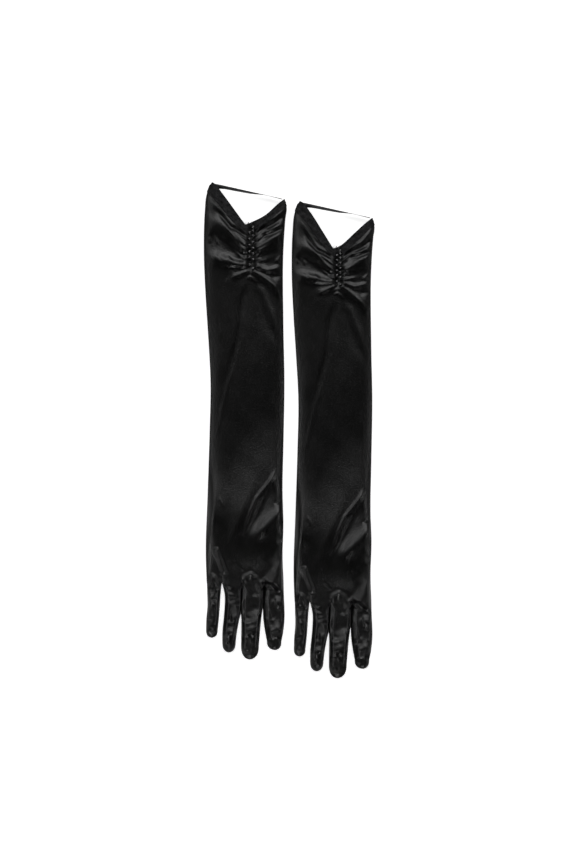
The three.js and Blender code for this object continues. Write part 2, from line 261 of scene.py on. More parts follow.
def fold(x, y, points, height, width, ends=(0.25, 0.25)):
    """A fold along a line of points: a ridge, or a valley where height is negative. width is its
    spread, or its spreads on the left and on the right of the line, going from the first point. ends
    are the shares of its length over which it fades in and out."""
    best = np.full(np.shape(x), 1e9)
    along = np.zeros(np.shape(x))
    hand = np.ones(np.shape(x))
    done = 0.0
    for a, b in zip(points, points[1:]):
        gone, t, side, length = to_line(x, y, a, b)
        nearer = gone < best
        best = np.where(nearer, gone, best)
        along = np.where(nearer, done + t, along)
        hand = np.where(nearer, side, hand)
        done += length
    left, right = width if isinstance(width, tuple) else (width, width)
    spread = np.where(hand > 0, left, right)
    share = along / done
    fade = smooth(share / max(ends[0], 1e-3)) * smooth((1 - share) / max(ends[1], 1e-3))
    return height * fade * np.exp(-((best / spread) ** 2))


# Folds: (points, height, spread, fade at each end). Those at the cuff are placed for FIRST_RUCHE and
# move with the gathers of each glove.
CUFF_FOLDS = [
    ([(-40, 449), (-35.6, 442), (-24, 430), (-14.7, 419), (-5.5, 414.5), (4, 408)], 0.5, (2.0, 2.4),
     (0.2, 0.1)),
    ([(-34, 438), (-26, 428), (-16, 415), (-8, 411), (3, 404)], -1.6, 2.2, (0.3, 0.1)),
    ([(-47, 431), (-38, 424.5), (-27, 418.5), (-17, 411), (-7, 402.5), (-0.5, 393), (5, 384)], 2.9,
     (6.5, 9), (0.4, 0.1)),
    ([(-22, 417), (-12, 403), (-4, 393), (4, 384)], 0.8, 1.5, (0.3, 0.2)),
    ([(-42, 410), (-24, 397), (-6, 385), (4, 378)], -1.6, (5, 12), (0.2, 0.15)),
    ([(-41, 404), (-39, 396)], 0.6, 1.8, (0.3, 0.3)),
    ([(-35.6, 407), (-29.7, 394)], 0.6, 1.8, (0.3, 0.3)),
    ([(-14, 390), (4.5, 374)], 0.9, 1.5, (0.4, 0.1)),
    ([(-6, 390.5), (6, 376)], 0.8, 1.3, (0.4, 0.1)),
    ([(0, 392), (6, 384)], 0.8, 1.3, (0.3, 0.1)),
    ([(-45, 385), (-30, 379), (-14, 374), (6, 368)], 2.7, (5, 8), (0.3, 0.15)),
    ([(-32, 386), (-26, 375)], -0.7, 2.0, (0.3, 0.3)),
    ([(-20, 382), (-12, 371)], 0.6, 2.0, (0.3, 0.3)),
    ([(-22, 366.5), (5, 368)], -1.5, (2.4, 4.8), (0.4, 0.2)),
    ([(-15, 353), (-10, 358), (5, 365)], 1.2, (2.6, 3.4), (0.4, 0.1)),
    ([(13, 410.5), (23, 419), (36, 426), (50, 438)], 1.4, (2.2, 2.6), (0.1, 0.05)),
    ([(13, 406), (24, 413.5), (37, 420.5), (47, 430)], -1.5, 2.3, (0.1, 0.15)),
    ([(24, 408), (36, 413.5), (49, 420.5)], 1.7, (3.0, 3.2), (0.3, 0.05)),
    ([(18, 403), (34, 409), (47, 415)], -1.2, 2.4, (0.2, 0.1)),
    ([(14, 387.5), (23, 393.5), (33, 401), (49, 409.5)], 2.7, (4.2, 8), (0.08, 0.05)),
    ([(13.5, 398), (20, 405)], 1.0, 1.6, (0.1, 0.4)),
    ([(13.5, 378.5), (20, 385.5)], 1.0, 1.5, (0.1, 0.4)),
    ([(13, 373.5), (30, 377)], 0.9, 1.4, (0.1, 0.4)),
    ([(36, 373), (48, 386)], 0.9, (2.0, 4), (0.2, 0.1)),
    ([(12, 371.5), (20, 367.5), (27, 364.5), (33, 365.5), (40, 367.5), (49, 367.5)], 1.8, (3.2, 3.6),
     (0.1, 0.1)),
    ([(30, 357), (48, 359)], -1.2, 3.5, (0.3, 0.1)),
    ([(9.5, 366), (23, 356), (36, 346), (48, 330)], 2.2, (3.6, 4.4), (0.06, 0.2)),
    ([(5, 358), (17, 349)], 0.6, 1.5, (0.1, 0.4)),
    ([(2, 354), (8, 357), (14, 353)], 0.5, 1.4, (0.3, 0.3)),
]
ARM_FOLDS = [
    ([(3, 352), (-3, 325), (-8, 284), (-16, 255), (-24, 222)], -0.8, (5, 2.8), (0.15, 0.35)),
    ([(-8, 262), (-19, 230), (-29, 186), (-33, 168)], 0.4, (2.6, 2.6), (0.3, 0.3)),
    ([(17, 350), (28, 321), (35.5, 302), (50, 280)], 0.9, (4, 4), (0.15, 0.1)),
    ([(12, 350), (22, 318), (30, 298), (44, 276)], -0.5, (4, 6), (0.2, 0.2)),
    ([(-24, 330), (-30, 280), (-28, 230)], 0.4, 9, (0.4, 0.4)),
    ([(10, 300), (8, 240), (14, 180)], 0.4, 10, (0.4, 0.4)),
    ([(-52, 80), (-24, 79), (10, 66)], 6.6, (42, 26), (0.02, 0.3)),
    ([(-70, 76), (-40, 78), (-14, 78)], 3.4, (40, 24), (0.02, 0.5)),
    ([(-29, 101), (-24, 88)], 0.4, 1.5, (0.3, 0.3)),
]
HAND_FOLDS = [
    ([(39, 134), (31, 119), (15, 99), (8, 83), (-2, 52)], 1.9, (2.2, 2.2), (0.2, 0.2)),
    ([(39, 134), (31, 119), (15, 99), (8, 83), (-2, 52)], 0.5, (3.0, 9.0), (0.2, 0.2)),
    ([(36, 117), (25, 99), (15, 77), (3, 52)], -2.4, (7.5, 3.4), (0.3, 0.35)),
    ([(53, 88), (41, 80), (27, 67), (15, 55), (6, 45)], 4.2, (9.0, 8.5), (0.05, 0.4)),
    ([(48, 95.5), (34, 93)], -1.3, 1.6, (0.05, 0.4)),
    ([(48, 99.5), (41, 99.5)], 1.0, 2.2, (0.1, 0.4)),
    ([(48, 55), (36, 40), (26, 22)], -2.0, 7, (0.2, 0.3)),
    ([(57, 38), (46, 17), (32, -5)], 8.2, (11.0, 10.5), (0.02, 0.12)),
    ([(43, 26), (36, 12)], 0.6, 2.0, (0.3, 0.3)),
    ([(-33, 42), (-28, 28), (-21, 9)], 2.5, (2.2, 3.7), (0.1, 0.15)),
    ([(-15, 42), (-10.5, 25)], 0.4, 1.4, (0.3, 0.1)),
    ([(-11, 25), (1, 11.5)], 0.6, 1.2, (0.15, 0.3)),
    ([(-2.5, -1), (2, 7), (8, 10), (14, 5), (19.5, -10)], 2.8, (3.2, 3.4), (0.15, 0.1)),
    ([(-40, -7), (-36.5, 7), (-32, 1), (-28.5, -4), (-28, -12)], 2.2, (2.8, 2.6), (0.15, 0.2)),
    ([(-26, -4), (-26.5, 12)], -1.6, 2.0, (0.05, 0.5)),
    ([(-21, 4), (-25, 9)], 0.9, 1.3, (0.2, 0.3)),
    ([(-1.5, -4), (-1, 8)], -1.2, 1.8, (0.05, 0.5)),
    ([(20, -8), (20.6, 1), (25, 4), (29, 0), (28, -9)], 1.7, 1.8, (0.1, 0.1)),
    ([(24, -6), (24.3, 1)], -2.0, 1.6, (0.05, 0.3)),
]
FINGER_FOLDS = [
    ([(-50, -31), (-26, -29)], 3.2, (15, 6), (0.1, 0.1)),
    ([(-42, -8), (-38, -28), (-34, -48)], 1.6, (3.6, 4.4), (0.2, 0.3)),
    ([(-48, -55), (-26, -53)], 3.2, (8.5, 5), (0.1, 0.05)),
    ([(-17, -42), (1, -40)], 4.6, (10, 5), (0.25, 0.05)),
    ([(-19, -12), (-15, -24), (-16, -36)], -0.9, 2.6, (0.3, 0.3)),
    ([(-30, -62), (-6, -57)], 3.8, (9, 5), (0.1, 0.25)),
    ([(-30, -77), (-8, -75)], 3.4, (8, 5), (0.1, 0.15)),
    ([(-4, -38), (24, -22)], -1.8, (12, 6), (0.1, 0.05)),
    ([(-4, -62), (22, -47)], 4.6, (10, 5), (0.15, 0.05)),
    ([(-8, -80), (10, -77)], 3.6, (8.5, 5), (0.1, 0.2)),
    ([(9, -84), (18, -70)], -1.2, 4.0, (0.2, 0.2)),
    ([(31, -6), (43, -24)], -2.0, 5.0, (0.2, 0.3)),
    ([(35, -24), (52, -22)], 3.2, (8, 4.5), (0.2, 0.05)),
    ([(20, -42), (33, -40)], 2.8, (8, 4), (0.05, 0.3)),
    ([(28, -57), (50, -54)], 3.6, (8, 4.5), (0.2, 0.1)),
    ([(27, -66), (46, -66)], -1.4, 4.0, (0.2, 0.2)),
    ([(28, -76), (42, -78)], 1.6, (4, 3), (0.2, 0.2)),
]
# Sewn lines that stand up a little: the outer seam of the arm and the fourchettes' top edges.
SEAM_LINES = [
    ([(35.4, 300), (37, 235), (35.8, 186), (39.2, 134), (43, 104)], 0.35, 0.9, (0.05, 0.1)),
    ([(-29.6, -2), (-31.4, -26), (-33.4, -48)], 0.5, 0.9, (0.1, 0.1)),
    ([(-21.5, -2), (-18.1, -18), (-18.4, -38), (-20.4, -62)], 1.0, 1.1, (0.1, 0.3)),
    ([(-4.6, -4), (-6, -30), (-10.6, -60)], 0.4, 0.9, (0.1, 0.1)),
    ([(2.4, -2), (2.8, -18), (1.6, -40), (2, -62)], 0.9, 1.1, (0.1, 0.4)),
    ([(19, -4), (17.2, -30), (14.4, -70)], 0.4, 0.9, (0.1, 0.1)),
    ([(28.6, -3), (29.2, -18), (29.4, -40), (31.6, -60)], 0.6, 0.9, (0.1, 0.1)),
]


def fan_source(x, y, ruche):
    """Where on the gather line the pleat through a point starts: the pleats fan out from it."""
    centre, low, high = ruche
    away = np.abs(x - centre)
    starts = np.linspace(low - 30, high + 8, 96)
    share = (starts - low) / (high - low)
    slope = np.interp(share, [-0.5, 0.0, 0.18, 0.45, 1.0], [-1.3, -0.55, 0.12, 0.78, 0.8])
    best = np.full(np.shape(x), starts[0])
    for low_start, high_start, s, t in zip(starts, starts[1:], slope, slope[1:]):
        at = low_start + s * away
        to = high_start + t * away
        inside = (y >= at) & (y < to)
        best = np.where(inside, low_start + (high_start - low_start) * (y - at) / (to - at + 1e-9), best)
    return np.where(y >= starts[-1] + slope[-1] * away, starts[-1], best)


def gathers(x, y, ruche):
    """The fine pleats that fan out from the stay tape, and the channel along it."""
    centre, low, high = ruche
    away = np.abs(x - centre)
    start = fan_source(x, y, ruche)
    within = smooth((start - low + 6) / 8) * smooth((high + 3 - start) / 5)
    side = np.where(x > centre, 1.0, 0.0)
    wave = np.sin(start * 1.02 + 1.3 * side) + 0.6 * np.sin(start * 1.73 + 2.1 + 2.6 * side)
    reach = np.exp(-((away / 15) ** 1.4)) * smooth(away / 2.2)
    pleats = 0.55 * wave * reach * within
    along = smooth((y - low + 3) / 7) * smooth((high + 4 - y) / 5)
    channel = -2.4 * np.exp(-((away / 3.6) ** 2)) * along
    shoulder = 1.1 * np.exp(-(((away - 7) / 4.5) ** 2)) * along
    return pleats + channel + shoulder


def drape(x, y):
    """Slow, shallow undulation of cloth lying slack, the same every time."""
    waves = [(0.045, 0.012, 0.3), (-0.031, 0.027, 1.9), (0.083, 0.034, 4.1), (0.02, -0.051, 2.2)]
    total = sum(np.sin(a * x + b * y + c) for a, b, c in waves)
    fine = np.sin(0.19 * x + 0.06 * y + 1.1) * np.sin(0.11 * y - 0.05 * x + 0.4)
    return 0.16 * total + 0.10 * fine


def crumple(x, y):
    """Soft irregular lumps in the fingers' cloth, the same every time, gone above the crotches."""
    across = x + 3.0 * np.sin(0.23 * y + 1.1)
    along = y + 3.2 * np.sin(0.24 * x + 0.17 * y)
    waves = [(0.34, 0.25, 0.5, 0.28), (-0.28, 0.38, 2.2, 0.32), (0.14, 0.44, 4.0, 0.24),
             (0.55, -0.2, 1.2, 0.17), (-0.65, 0.6, 3.1, 0.07)]
    lumps = sum(a * np.sin(kx * across + ky * along + start) for kx, ky, start, a in waves)
    calm = 1 - fold(x, y, [(-2, -32), (24, -18)], 0.85, 10)
    return lumps * calm * smooth((14 - y) / 22)


def relief(x, y, glove):
    """Everything that stands up from the plain top of the glove, in mm."""
    centre, low, high = glove["ruche"]
    first_centre, first_low, first_high = FIRST_RUCHE
    shift = centre - first_centre
    above_low = (y - low) / (high - low) * (first_high - first_low) + first_low
    cuff_y = np.where(y > low, above_low, y - low + first_low)
    cuff_y = cuff_y + smooth((y - high) / 30) * (y - cuff_y)
    total = drape(x, y) + crumple(x, y)
    for points, height, spread, ends in CUFF_FOLDS:
        total = total + fold(x - shift, cuff_y, points, height, spread, ends)
    for points, height, spread, ends in ARM_FOLDS + HAND_FOLDS + FINGER_FOLDS + SEAM_LINES:
        total = total + fold(x, y, points, height, spread, ends)
    return total + gathers(x, y, glove["ruche"])


# ---- the net of rings ----
def dipped(points, lowered):
    """A smooth curve through (x, y) points, of which the numbered ones are lowered."""
    return through([(x, y - lowered.get(i, 0)) for i, (x, y) in enumerate(points)])


def neckline(x, glove):
    """y of the neckline at x. The dip lowers the points round the foot of the V."""
    dip = glove["dip"]
    left = dipped(NECK_LEFT, {4: dip / 2, 5: dip})
    right = dipped(NECK_RIGHT, {0: dip, 1: dip})
    return np.where(x < NECK_LEFT[-1][0], left(x), right(x))


def hem_seam(x, glove):
    """y of the seam between the satin and the hem at x."""
    dip = glove["dip"]
    return dipped(HEM_SEAM, {3: dip / 2, 4: dip, 5: dip, 6: dip / 3})(x)


def row_height(row, x, glove):
    """y of a row of the net: level up to CUFF_BASE (rows 0 to 1), then bending towards the hem's seam
    (row 2) and the neckline (row 3)."""
    level = np.clip(row, 0, 1) * CUFF_BASE
    seam = hem_seam(x, glove)
    bent = np.clip(row - 1, 0, 1) * (seam - CUFF_BASE)
    return level + bent + np.clip(row - 2, 0, 1) * (neckline(x, glove) - seam)


def column_shares(each):
    """Where the columns lie across: the finger crotches divide them into four sets."""
    low, high = LEFT_EDGE[0][1] + LEFT_SEAM, RIGHT_EDGE[0][1] - RIGHT_SEAM
    marks = [0.0] + [(c - low) / (high - low) for c in CROTCHES] + [1.0]
    shares = [np.linspace(a, b, each + 1)[:-1] for a, b in zip(marks, marks[1:])]
    return np.concatenate([*shares, [1.0]])


def wall_of(edge, inset, width, inward):
    """x and height share round a side of a ring, from its top seam to its bottom seam. inward is 1 or
    -1, the way from the side's edge into the ring."""
    start = np.arccos(np.clip(1 - inset / width, -1, 1))
    turn = start[..., None] * np.linspace(1, -1, WALL_STEPS + 1)[1:-1]
    deep = 1 - np.cos(turn)
    return edge[:, None] + inward * width[:, None] * deep, np.sign(turn) * profile(deep)


def flat_of(left, right, left_inset, right_inset, left_width, right_width, shares):
    """x and height share across one side of a ring, between its seams."""
    start, stop = left + left_inset, right - right_inset
    x = start[:, None] + (stop - start)[:, None] * shares[None]
    rise = np.minimum(profile((x - left[:, None]) / left_width[:, None]),
                      profile((right[:, None] - x) / right_width[:, None]))
    return x, rise


def ring_of(left, right, left_inset, right_inset, left_width, right_width, shares, under_shares):
    """x and height share (-1 to 1) round a ring: top, right side, underside, left side."""
    edges = (left, right, left_inset, right_inset, left_width, right_width)
    top, rise = flat_of(*edges, shares)
    under, sink = flat_of(*edges, under_shares)
    right_x, right_rise = wall_of(right, right_inset, right_width, -1)
    left_x, left_rise = wall_of(left, left_inset, left_width, 1)
    xs = np.concatenate([top, right_x, under[:, ::-1], left_x[:, ::-1]], axis=1)
    rises = np.concatenate([rise, right_rise, -sink[:, ::-1], left_rise[:, ::-1]], axis=1)
    return xs, rises


def arm_ring(rows, glove):
    """Points of the arm and hand for each row, as arrays rows by ring."""
    y_left = y_right = row_height(rows, 0.0, glove)
    for _ in range(6):
        y_left = row_height(rows, left_edge(y_left), glove)
        y_right = row_height(rows, right_edge(y_right), glove)
    left, right = left_edge(y_left) - EDGE_PROUD, right_edge(y_right) + EDGE_PROUD
    x, rise = ring_of(left, right, np.full(len(rows), LEFT_SEAM), right_seam(y_right),
                      left_round(y_left), right_round(y_right), column_shares(PER_FINGER),
                      column_shares(PER_UNDER))
    y = row_height(rows[:, None], x, glove)
    under = THUMB_LIFT * over_thumb(x, y)
    over = ARM_THICK + crown(x, y)
    z = (under + over) / 2 + rise * (over - under) / 2
    z = z + relief(x, y, glove) * smooth(rise * 1.15)
    return np.stack([x, y, z], axis=-1)


def lap(name, x, y, centre, half):
    """The middle finger lies against both its neighbours at their bases, its sides a little above theirs.
    Returns how far out each side bulges for that, towards +x, and how far up."""
    right = smooth((x - centre) / half) * smooth(-y / 6)
    left = smooth((centre - x) / half) * smooth(-y / 6)
    by_ring, by_index = smooth((y + 46) / 12), smooth((y + 34) / 10)
    if name == "ring":
        return LAP_OUT * right * by_ring, -LAP_UP * right * by_ring
    if name == "middle":
        return LAP_OUT * (right * by_index - left * by_ring), LAP_UP * (right * by_index + left * by_ring)
    if name == "index":
        return -LAP_OUT * left * by_index, -LAP_UP * left * by_index
    return 0.0, 0.0


def finger_ring(name, glove):
    """Points of a finger from its base row to its tip, as arrays rows by ring, without the base row."""
    finger = FINGERS[name]
    tip_x, tip_y = finger["tip"]
    last, last_left, last_right = finger["rows"][-1]
    body = np.linspace(0, last, int(abs(last) / ROW_STEP) + 1)[1:]
    cap = last + (tip_y - last) * np.sin(np.linspace(0, math.pi / 2, TIP_ROWS)[1:-1])
    y = np.concatenate([body, cap])
    left = through([(r[0], r[1]) for r in finger["rows"]])(y)
    right = through([(r[0], r[2]) for r in finger["rows"]])(y)
    round_off = np.sqrt(np.maximum(1 - (np.maximum(last - y, 0) / (last - tip_y)) ** 2.6, 0))
    left = np.where(y < last, tip_x + (last_left - tip_x) * round_off, left)
    right = np.where(y < last, tip_x + (last_right - tip_x) * round_off, right)
    half = (right - left) / 2
    grown = smooth(-y / 9)
    insets = []
    widths = []
    full = np.minimum(FINGER_ROUND, half * 0.98)
    for side, outer in ((0, name == "little"), (1, name == "index")):
        width = full if outer else np.maximum(full * grown, 0.02)
        inset = np.minimum(finger["seam"][side], full * 0.9)
        if outer:
            inset = np.minimum(LEFT_SEAM if side == 0 else RIGHT_SEAM, full * 0.9)
        else:
            inset = inset * width / full
        insets.append(inset)
        widths.append(width)
    x, rise = ring_of(left, right, insets[0], insets[1], widths[0], widths[1],
                      np.linspace(0, 1, PER_FINGER + 1), np.linspace(0, 1, PER_UNDER + 1))
    out, up = lap(name, x, y[:, None], (left + right)[:, None] / 2, half[:, None])
    x = x + out
    yy = np.repeat(y[:, None], x.shape[1], axis=1)
    thick = FINGER_THICK * np.where(y < last, 0.45 + 0.55 * round_off, 1)[:, None]
    thick = thick + (ARM_THICK - FINGER_THICK) * smooth(1 + yy / 20)
    thick = thick * (1 - TIP_FLATTENING * smooth((tip_y + TIP_SLOPE - yy) / TIP_SLOPE))
    middle = thick / 2 + FINGER_THICK * 0.04 * (1 - round_off)[:, None]
    z = middle + rise * thick / 2
    z = z + up * (1 - rise**2) + relief(x, yy, glove) * smooth(rise * 1.15) * round_off[:, None]
    return np.stack([x, yy, z], axis=-1)


class Net:
    """Points and faces of one glove's skin. Each face belongs to a named piece."""

    def __init__(self):
        self.points = []
        self.count = 0
        self.faces = []
        self.owner = []

    def add_points(self, points):
        """Add points and return their numbers."""
        first = self.count
        self.points.append(points)
        self.count += len(points)
        return np.arange(first, self.count)

    def add_strip(self, a, b, owners):
        """Faces between two closed rings of vertex numbers. owners names the piece of each column."""
        n = len(a)
        for i in range(n):
            k = (i + 1) % n
            corners = [a[i], b[i], b[k], a[k]]
            kept = [c for j, c in enumerate(corners) if c != corners[j - 1]]
            if len(set(kept)) > 2:
                self.faces.append(kept)
                self.owner.append(owners[i])


def loft(count, around):
    """A net of faces between rings of points, numbered ring by ring, and the rings' numbers."""
    ids = np.arange(count * around).reshape(count, around)
    net = Net()
    for a, b in zip(ids, ids[1:]):
        net.add_strip(a, b, [None] * around)
    return net, ids


def closed_loft(count, around):
    """The faces of such a net, closed at both ends."""
    net, ids = loft(count, around)
    return net.faces + [list(ids[0]), list(ids[-1][::-1])]


def arm_owners():
    """The sewn piece that each column of the arm's ring belongs to."""
    top, wall = ["back_panel"] * ACROSS, ["palm_panel"] * WALL_STEPS
    return top + wall + ["palm_panel"] * UNDER + ["back_panel"] * WALL_STEPS


def finger_owners(name, walled):
    """The same for a finger: its shell, and the fourchette legs down its sides where walled."""
    shell = f"{name}_finger"
    right = f"{name}_fourchette_right" if walled and "right" in FOURCHETTES[name] else shell
    left = f"{name}_fourchette_left" if walled and "left" in FOURCHETTES[name] else shell
    return [shell] * PER_FINGER + [right] * WALL_STEPS + [shell] * PER_UNDER + [left] * WALL_STEPS


def arm_rows():
    """Row numbers from the hand to the hem: fine at the hand and the cuff, coarse along the arm."""
    hand = np.arange(0, ARM_START, ROW_STEP)
    arm = np.arange(ARM_START, CUFF_BASE, ARM_ROW_STEP)
    level = np.concatenate([hand, arm]) / CUFF_BASE
    cuff = 1 + np.linspace(0, 1.12, CUFF_ROWS)
    return np.concatenate([level, cuff])


def glove_net(glove):
    """The whole skin of one glove: rings up the arm, and a set of rings down each finger."""
    net = Net()
    rows = arm_rows()
    arm = arm_ring(rows, glove)
    ids = [net.add_points(row) for row in arm]
    owners = arm_owners()
    for a, b in zip(ids, ids[1:]):
        net.add_strip(a, b, owners)

    base = ids[0]
    under_start = ACROSS + WALL_STEPS
    top = base[: ACROSS + 1]
    right_wall = base[ACROSS + 1: under_start]
    bottom = base[under_start: under_start + UNDER + 1]
    left_wall = base[under_start + UNDER + 1:]
    down = np.linspace(1, -1, WALL_STEPS + 1)[1:-1]
    webs = []
    for k in (1, 2, 3):
        high = arm[0][k * PER_FINGER]
        low = arm[0][under_start + UNDER - k * PER_UNDER]
        turn = np.sin(down * math.pi / 2)
        web = (high + low) / 2 + turn[:, None] * (high - low) / 2
        webs.append(net.add_points(web))
    for k, name in enumerate(FINGERS):
        right = right_wall if k == 3 else webs[k]
        left = left_wall if k == 0 else webs[k - 1][::-1]
        over = top[k * PER_FINGER: (k + 1) * PER_FINGER + 1]
        under = bottom[UNDER - (k + 1) * PER_UNDER: UNDER - k * PER_UNDER + 1]
        ring = np.concatenate([over, right, under, left])
        points = finger_ring(name, glove)
        for row in points:
            fresh = net.add_points(row)
            walled = row[0][1] > FINGERS[name]["tip"][1] + TIP_CLOSED
            net.add_strip(fresh, ring, finger_owners(name, walled))
            ring = fresh
        end = net.add_points(np.array([points[-1].mean(axis=0) + [0, -0.25, 0]]))
        net.add_strip(np.repeat(end, len(ring)), ring, finger_owners(name, False))
    net.points = np.concatenate(net.points)
    return net


def vertex_normals(points, faces):
    """Smooth normals over the whole net, so that its pieces meet without a break in the shading."""
    normals = np.zeros_like(points)
    quads = np.array([f if len(f) == 4 else [*f, f[2]] for f in faces])
    a, b, c, d = (points[quads[:, i]] for i in range(4))
    face = np.cross(c - a, d - b)
    for i in range(4):
        np.add.at(normals, quads[:, i], face)
    length = np.linalg.norm(normals, axis=1, keepdims=True)
    return normals / np.maximum(length, 1e-12)


# ---- making Blender meshes ----
def new_object(name, data):
    """An object in the scene."""
    made = bpy.data.objects.new(name, data)
    bpy.context.scene.collection.objects.link(made)
    return made


def new_mesh(name, points, faces, origin, material, normals=None, flow=None):
    """A mesh piece from points in a glove's frame, in mm. normals are its smooth normals, and flow is each
    point's place on the cloth, where they matter."""
    mesh = bpy.data.meshes.new(name)
    mesh.from_pydata((points * MM + origin).tolist(), [], [list(map(int, f)) for f in faces])
    mesh.update()
    mesh.polygons.foreach_set("use_smooth", np.ones(len(mesh.polygons), bool))
    if flow is not None:
        corner = np.zeros(len(mesh.loops), np.int32)
        mesh.loops.foreach_get("vertex_index", corner)
        layer = mesh.uv_layers.new(name="cloth")
        layer.data.foreach_set("uv", flow[corner].astype(np.float32).ravel())
    if normals is not None:
        mesh.normals_split_custom_set_from_vertices(normals.tolist())
    mesh.materials.append(material)
    return new_object(name, mesh)


def split_net(net, prefix, origin, material):
    """Cut the net into its sewn pieces. Returns the pieces by name."""
    normals = vertex_normals(net.points, net.faces)
    flow = cloth_place(net)
    pieces = {}
    owners = np.array(net.owner)
    for name in dict.fromkeys(net.owner):
        chosen = [net.faces[i] for i in np.flatnonzero(owners == name)]
        used = np.unique(np.concatenate([np.array(f) for f in chosen]))
        place = np.full(net.count, -1)
        place[used] = np.arange(len(used))
        faces = [[place[v] for v in f] for f in chosen]
        pieces[name] = new_mesh(f"{prefix}_{name}_cloth", net.points[used], faces, origin,
                                material, normals[used], flow[used])
    return pieces


def cloth_place(net):
    """Where each point lies on the flat cloth, in centimetres: across the grain and along it. The
    underside is shifted, so that its grain differs from the top's."""
    x, y, z = net.points.T
    side = np.where(z > ARM_THICK / 2, 0.0, 1.0)
    return np.stack([(x + side * 7) / 10, y / 10], axis=-1)


# ---- materials ----
def set_inputs(node, **inputs):
    """Set a node's inputs. A space in an input's name is written as an underscore."""
    for key, value in inputs.items():
        node.inputs[key.replace("_", " ")].default_value = value


def node_material(name, **inputs):
    """A new node material, with its node tree and its shader, whose inputs are set."""
    material = bpy.data.materials.new(name)
    material.use_nodes = True
    tree = material.node_tree
    shader = tree.nodes["Principled BSDF"]
    set_inputs(shader, **inputs)
    return material, tree, shader


def add_node(tree, kind, **inputs):
    """A new node with its inputs set."""
    node = tree.nodes.new(kind)
    set_inputs(node, **inputs)
    return node


def cloth_noise(tree, place, per_cm, detail):
    """Noise on the cloth, with so many lumps per centimetre across the grain and along it."""
    scale = add_node(tree, "ShaderNodeMapping", Scale=(*per_cm, 1))
    tree.links.new(place.outputs["UV"], scale.inputs["Vector"])
    noise = add_node(tree, "ShaderNodeTexNoise", Scale=1.0, Detail=detail, Roughness=0.6)
    tree.links.new(scale.outputs["Vector"], noise.inputs["Vector"])
    return noise


def solid_texture(tree, kind, **inputs):
    """A texture that runs through the object, in metres."""
    place = tree.nodes.new("ShaderNodeTexCoord")
    texture = add_node(tree, kind, **inputs)
    tree.links.new(place.outputs["Object"], texture.inputs["Vector"])
    return texture


def bump_from(tree, height, strength, distance, finer=None):
    """A bump from a height, so deep in metres, over a finer bump if there is one."""
    bump = add_node(tree, "ShaderNodeBump", Strength=strength, Distance=distance)
    tree.links.new(height.outputs["Fac"], bump.inputs["Height"])
    if finer:
        tree.links.new(finer.outputs["Normal"], bump.inputs["Normal"])
    return bump


def colour_from(tree, value, dark, light, span=(0.0, 1.0)):
    """A colour between dark and light, as a value goes over its span."""
    ramp = tree.nodes.new("ShaderNodeValToRGB")
    for stop, position, colour in zip(ramp.color_ramp.elements, span, (dark, light)):
        stop.position = position
        stop.color = (*colour, 1)
    tree.links.new(value, ramp.inputs["Fac"])
    return ramp.outputs["Color"]


def range_from(tree, value, span, result, step="LINEAR"):
    """A value's span mapped to a result's range."""
    low, high = span
    start, end = result
    remap = add_node(tree, "ShaderNodeMapRange", From_Min=low, From_Max=high, To_Min=start, To_Max=end)
    remap.interpolation_type = step
    tree.links.new(value, remap.inputs["Value"])
    return remap.outputs["Result"]


def maths(tree, operation, a, b):
    """Two values put together."""
    node = tree.nodes.new("ShaderNodeMath")
    node.operation = operation
    tree.links.new(a, node.inputs[0])
    tree.links.new(b, node.inputs[1])
    return node.outputs[0]


def show_mixed(tree, share, first, second, end):
    """Two shaders mixed, by the second one's share, as what the tree's end node shows."""
    mix = tree.nodes.new("ShaderNodeMixShader")
    for source, place in zip((share, first.outputs[0], second.outputs[0]), mix.inputs):
        tree.links.new(source, place)
    tree.links.new(mix.outputs[0], tree.nodes[end].inputs["Surface"])


def sheen_of(tree, shader, turn, rough, stretch, tint, bump, cloth):
    """One direction of the satin's sheen. turn is 0 for a sheen drawn out across the glove, and 0.25 for
    one drawn out along it."""
    link = tree.links.new
    set_inputs(shader, Specular_IOR_Level=0.6, Anisotropic=stretch, Anisotropic_Rotation=turn)
    link(cloth.outputs["Tangent"], shader.inputs["Tangent"])
    link(tint, shader.inputs["Base Color"])
    link(rough, shader.inputs["Roughness"])
    link(bump.outputs["Normal"], shader.inputs["Normal"])


